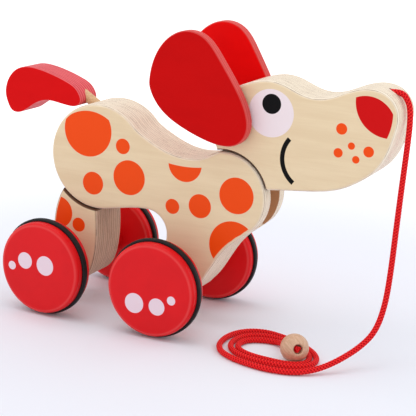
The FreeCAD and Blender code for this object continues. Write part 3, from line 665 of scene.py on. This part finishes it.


# Red enamel sprayed on turned birch: satin, with a lighter ring where the face turns into the
# rim, a painted highlight where the paint is also thin, and three pale spots on the outer face. A
# spacer has neither.
def wheelEnamel(name, spotted=True):
    material, tree, shader = newMaterial(name)
    shader.inputs["Roughness"].default_value = wheelPaint["roughness"]
    shader.inputs["Specular IOR Level"].default_value = 0.18
    place = placeInMm(tree)[0]
    cloud = stretchedNoise(tree, place, (18.0, 18.0, 18.0), 3.0)
    tone = softStep(tree, cloud, 0.3, 0.75, 0.0, 0.5)
    red = blendColors(tree, tone, linearColor(wheelPaint["red"]), linearColor(wheelPaint["deep"]))
    if not spotted:
        tree.links.new(red, shader.inputs["Base Color"])
        return material
    faceMap = addNode(tree, "ShaderNodeUVMap", {"uv_map": "face"}, {})
    apart = addNode(tree, "ShaderNodeSeparateXYZ", {}, {0: faceMap.outputs["UV"]})
    flat = addNode(tree, "ShaderNodeCombineXYZ", {},
                   {"X": apart.outputs["X"], "Z": apart.outputs["Y"]})
    inMm = addNode(tree, "ShaderNodeVectorMath", {"operation": "SCALE"},
                   {0: flat.outputs["Vector"], "Scale": 100.0})    # from tenths of a metre
    spots = paintedShapes(tree, inMm.outputs["Vector"], wheelPaint["spots"])
    outward = addNode(tree, "ShaderNodeAttribute", {"attribute_name": "fromAxis"}, {})
    fromRim = addNode(tree, "ShaderNodeMath", {"operation": "SUBTRACT"},
                      {0: outward.outputs["Fac"], 1: wheelPaint["rimWear"]}).outputs[0]
    rimLine = addNode(tree, "ShaderNodeMath", {"operation": "ABSOLUTE"}, {0: fromRim})
    # A lighter ring on the rounded rim: painted highlight, where the paint is partly thinner too.
    rimHighlightShare = softStep(tree, rimLine.outputs[0], 1.5, 0.1, 0.0, 0.36)
    red = blendColors(tree, rimHighlightShare, red, linearColor(wheelPaint["rim"]))
    color = blendColors(tree, spots, red, linearColor(wheelPaint["spot"]))
    fine = stretchedNoise(tree, place, (0.9, 0.9, 0.9), 2.0)
    height = addNode(tree, "ShaderNodeMath", {"operation": "MULTIPLY_ADD"},
                     {0: fine, 1: 0.35, 2: spots})
    bump = addNode(tree, "ShaderNodeBump", {}, {"Strength": 0.15, "Distance": 0.05 * mm,
                                                "Height": height.outputs[0]})
    tree.links.new(color, shader.inputs["Base Color"])
    tree.links.new(bump.outputs["Normal"], shader.inputs["Normal"])
    return material


rubberValues = {"dark": "#0A0B0D", "bloom": "#131416", "grit": 0.45, "roughness": 0.58}


# Moulded nitrile rubber: near black and matte, with a fine talc-like bloom.
def blackRubber(name):
    material, tree, shader = newMaterial(name)
    place = placeInMm(tree)[0]
    bloom = stretchedNoise(tree, place, (6.0, 6.0, 6.0), 4.0)
    grit = stretchedNoise(tree, place, (rubberValues["grit"],) * 3, 2.0)
    tone = softStep(tree, bloom, 0.35, 0.75)
    color = blendColors(tree, tone, linearColor(rubberValues["dark"]),
                        linearColor(rubberValues["bloom"]))
    bump = addNode(tree, "ShaderNodeBump", {}, {"Strength": 0.3, "Distance": 0.05 * mm,
                                                "Height": grit})
    tree.links.new(color, shader.inputs["Base Color"])
    tree.links.new(bump.outputs["Normal"], shader.inputs["Normal"])
    shader.inputs["Roughness"].default_value = rubberValues["roughness"]
    shader.inputs["Specular IOR Level"].default_value = 0.28
    shader.inputs["IOR"].default_value = 1.52
    return material


# Turned beech: warmer than the boards, with close grain along the stick or through the bead
# and short dark flecks.
def turnedBeech(name, stretch, light, dark, fleck, turn=(0.0, 0.0, 0.0)):
    material, tree, shader = newMaterial(name)
    place = placeInMm(tree)[0]
    turned = addNode(tree, "ShaderNodeMapping", {}, {"Vector": place, "Rotation": turn})
    grain = stretchedNoise(tree, turned.outputs["Vector"], stretch, 4.0, 0.6, 0.3)
    flecks = stretchedNoise(tree, turned.outputs["Vector"],
                            tuple(value * 0.3 for value in stretch), 2.0)
    tone = softStep(tree, grain, 0.32, 0.68)
    color = blendColors(tree, tone, linearColor(light), linearColor(dark))
    fleckShare = softStep(tree, flecks, 0.62, 0.78, 0.0, 0.6)
    color = blendColors(tree, fleckShare, color, linearColor(fleck))
    bump = addNode(tree, "ShaderNodeBump", {}, {"Strength": 0.25, "Distance": 0.06 * mm,
                                                "Height": grain})
    tree.links.new(color, shader.inputs["Base Color"])
    tree.links.new(bump.outputs["Normal"], shader.inputs["Normal"])
    shader.inputs["Roughness"].default_value = 0.5
    return material


cordPaint = {
    # The valley colour is painted shade and the crest colour a painted highlight.
    "valleyShade": "#BA0812",
    "strand": "#F6161F",
    "crest": "#FF6A5E",
    "lint": "#F4604E",
    "fuzz": 0.3,               # size of the stray filaments, mm
    "roughness": 0.72,
}


# Braided polyester cord: bright red strands, darkened in the valleys between them as painted
# shade and lightened on their crests as a painted highlight, with the soft sheen of fine
# filaments.
def braidedPolyester(name):
    material, tree, shader = newMaterial(name)
    place = placeInMm(tree)[0]
    weave = addNode(tree, "ShaderNodeAttribute", {"attribute_name": "weave"}, {})
    # The valleys between the strands are darkened: painted shade.
    strand = softStep(tree, weave.outputs["Fac"], 0.45, 0.95)
    color = blendColors(tree, strand, linearColor(cordPaint["valleyShade"]),
                        linearColor(cordPaint["strand"]))
    # The strands' crests are lightened: painted highlight.
    crest = softStep(tree, weave.outputs["Fac"], 0.86, 1.0, 0.0, 0.5)
    color = blendColors(tree, crest, color, linearColor(cordPaint["crest"]))
    fuzz = stretchedNoise(tree, place, (cordPaint["fuzz"],) * 3, 3.0)
    lint = softStep(tree, fuzz, 0.6, 0.8, 0.0, 0.3)
    color = blendColors(tree, lint, color, linearColor(cordPaint["lint"]))
    bump = addNode(tree, "ShaderNodeBump", {}, {"Strength": 0.35, "Distance": 0.08 * mm,
                                                "Height": fuzz})
    tree.links.new(color, shader.inputs["Base Color"])
    tree.links.new(bump.outputs["Normal"], shader.inputs["Normal"])
    shader.inputs["Roughness"].default_value = cordPaint["roughness"]
    shader.inputs["Specular IOR Level"].default_value = 0.08
    shader.inputs["Sheen Weight"].default_value = 0.04
    shader.inputs["Sheen Roughness"].default_value = 0.5
    return material


floorValues = {
    "near": ("#ECF0FA", "#EEF2FB"),
    "far": "#FFFFFF",
    "fade": (260.0, 900.0),    # mm from the dog, over which the floor turns white and starts to glow
    "glow": 0.4,
}


# Matte paper roll for the floor: pale grey under the dog; further off it turns white and glows,
# painted light that stands in for an evenly lit backdrop.
def paperRoll(name):
    material, tree, shader = newMaterial(name)
    place = placeInMm(tree)[0]
    cloud = stretchedNoise(tree, place, (400.0, 400.0, 400.0), 2.0, 0.5)
    near = blendColors(tree, cloud, *(linearColor(tone) for tone in floorValues["near"]))
    away = addNode(tree, "ShaderNodeVectorMath", {"operation": "LENGTH"},
                   {0: place}).outputs["Value"]
    clean = softStep(tree, away, *floorValues["fade"])
    color = blendColors(tree, clean, near, linearColor(floorValues["far"]))
    # The far floor glows: painted light.
    glow = softStep(tree, away, *floorValues["fade"], 0.0, floorValues["glow"])
    tree.links.new(glow, shader.inputs["Emission Strength"])
    tree.links.new(color, shader.inputs["Base Color"])
    shader.inputs["Roughness"].default_value = 0.9
    shader.inputs["Specular IOR Level"].default_value = 0.2
    return material


paints = {
    "spot": "#F24E12",
    "eye": "#EFE2E6",
    "line": "#08080A",
    "nose": "#CE060A",
}

# Where the paint goes, in millimetres from the side.
bodySpots = [
    [(-53.2, 136.6, 6.2, True)], [(-47.0, 112.2, 14.0, True)], [(-79.5, 103.3, 9.3, True)],
    [(-8.2, 94.6, 6.0, True)], [(15.3, 98.2, 9.5, True)], [(45.5, 110.7, 14.2, True)],
    [(-84.9, 145.8, 21.3, True), (-84.0, 128.9, 32.4, True)],
    [(1.4, 129.7, 14.2, True), (1.0, 217.5, 90.0, False)],
    [(44.4, 70.5, 19.9, True)],
]
legSpots = [[(-111.6, 75.0, 13.1, True)], [(-92.3, 66.9, 5.8, True)]]
muzzleSpots = [
    [(125.4, 171.9, 4.2, True)], [(123.9, 154.1, 3.5, True)], [(133.6, 160.3, 2.7, True)],
    [(146.8, 157.6, 4.0, True)], [(137.6, 150.7, 2.8, True)],
]
eyeWhite = [[(70.0, 177.0, 18.0, True)]]
pupil = [[(70.2, 184.0, 7.5, True)]]
smile = [[(103.5, 145.4, 24.5, True), (103.5, 145.4, 20.9, False), (70.5, 140.8, 24.3, True)]]
nosePatch = [[(160.0, 194.3, 25.5, True), (143.5, 175.6, 22.2, True), (120.3, 185.1, 42.5, True)]]


# The circle of a sawn hollow that turns about a joint.
def hollowRound(jointName, radius):
    place = joints[jointName]["pos_m"]
    return place[0] / mm, place[2] / mm, radius


shoulderHollow = hollowRound("head_nod", 37.2)
rumpHollow = hollowRound("rear_leg_swing", 44.6)
bodyPly = birchPlywood("birchPlywoodSpotted", [(paints["spot"], bodySpots)])
# Darker veneers on the legs' sawn edges: partly burnt saw cuts, partly painted shade on the rear
# leg's front edge.
legEdgesBurntAndShaded = ("#E6D0B8", "#D0B296", "#4E3226")
legPly = birchPlywood("birchPlywoodLeg", [(paints["spot"], legSpots)], legEdgesBurntAndShaded, rumpHollow)
legCorePly = birchPlywood("birchPlywoodLegCore", [], legEdgesBurntAndShaded, rumpHollow)
headPly = birchPlywood("birchPlywoodFace", [
    (paints["spot"], muzzleSpots), (paints["eye"], eyeWhite), (paints["line"], pupil),
    (paints["line"], smile), (paints["nose"], nosePatch)], plyEdges, shoulderHollow)
plainPly = birchPlywood("birchPlywoodPlain", [])
earEdges = ("#E4605C", "#D94E4B", "#B03234")
earPaint = redBoard("redEnamelEar", ("#C80A0B", "#BB0809"), earEdges)
# The far ear gets a brighter copy of the same red enamel: painted light, so it looks more lit
# than the near ear.
farEarLitCopy = redBoard("redEnamelFarEarLit", ("#EE0D0E", "#DE0A0C"), earEdges)
tailPaint = redBoard("redEnamelTail", ("#DA1013", "#CC0B0E"), ("#EE7478", "#DC5058", "#A8242E"))
wheelRed = wheelEnamel("redEnamelWheel")
spacerRed = wheelEnamel("redEnamelSpacer", False)
rubber = blackRubber("nitrileRubber")
dowelBeech = turnedBeech("beechDowel", (1.3, 14.0, 1.3), "#E2BF92", "#CFA476", "#A67C54")
beadBeech = turnedBeech("beechBead", (1.2, 1.2, 12.0), "#DEB89A", "#CAA080", "#A07658",
                        (0.5, 0.9, 0.2))
cordBraid = braidedPolyester("braidedPolyester")
print("materials made")


def giveMaterial(piece, material):
    piece.data.materials.clear()
    piece.data.materials.append(material)


nodeMaterials = {
    "body_side": bodyPly, "body_core": plainPly, "head_cheek": headPly, "head_core": plainPly,
    "rear_leg_side": legPly, "rear_leg_core": legCorePly, "ear_right": earPaint,
    "ear_left": farEarLitCopy, "tail_dowel": dowelBeech, "front_sleeve": spacerRed,
    "rear_sleeve": spacerRed,
}

for nodeName, nodeObject in nodes.items():
    chosen = tailPaint if nodeName == "tail" else dowelBeech
    for start, material in nodeMaterials.items():
        if nodeName.startswith(start):
            chosen = material
    giveMaterial(nodeObject, chosen)

for nodeName, piece in wheelPieces.items():
    giveMaterial(piece, wheelRed if "_wheel_" in nodeName else rubber)
    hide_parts(nodeName)
    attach(piece, "front_wheels" if nodeName.startswith("front") else "rear_wheels")

for piece, nodeName, slotName, material in (
        (pullCord, "pull_cord", "red_cord", cordBraid),
        (beadPiece, "pull_bead", "plain_bead", beadBeech),
        (knotPiece, "cord_knot", "red_cord", cordBraid)):
    giveMaterial(piece, material)
    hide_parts(nodeName)
    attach(piece, "head")

studio = {
    "floorSize": 24.0,
    "sky": 0.85,
    "skyColor": (1.0, 0.995, 1.0, 1.0),
    "keyPower": 6.0,
    "keySize": 1.3,
    "keyPlace": (-0.35, -0.12, 1.5),
    "rimPower": 2.0,
    "rimSize": 0.8,
    "rimPlace": (0.9, 0.9, 1.0),
    "aim": (0.02, 0, 0.08),
}


def makeStudio():
    makeActive(None)
    bpy.ops.mesh.primitive_plane_add(size=studio["floorSize"])
    floor = bpy.context.object
    floor.name = "paperFloor"
    giveMaterial(floor, paperRoll("mattePaper"))
    for name, place, power, size in (
            ("keyLight", studio["keyPlace"], studio["keyPower"], studio["keySize"]),
            ("rimLight", studio["rimPlace"], studio["rimPower"], studio["rimSize"])):
        bpy.ops.object.light_add(type="AREA", location=place)
        light = bpy.context.object
        light.name = name
        light.data.energy = power
        light.data.size = size
        light.rotation_euler = (Vector(studio["aim"]) - Vector(place)).to_track_quat(
            "-Z", "Y").to_euler()
    world = bpy.data.worlds.new("softBox")
    world.use_nodes = True
    sky = world.node_tree.nodes["Background"]
    sky.inputs["Color"].default_value = studio["skyColor"]
    sky.inputs["Strength"].default_value = studio["sky"]
    bpy.context.scene.world = world
    bpy.context.scene.view_settings.view_transform = "Standard"


makeStudio()
print("studio made")
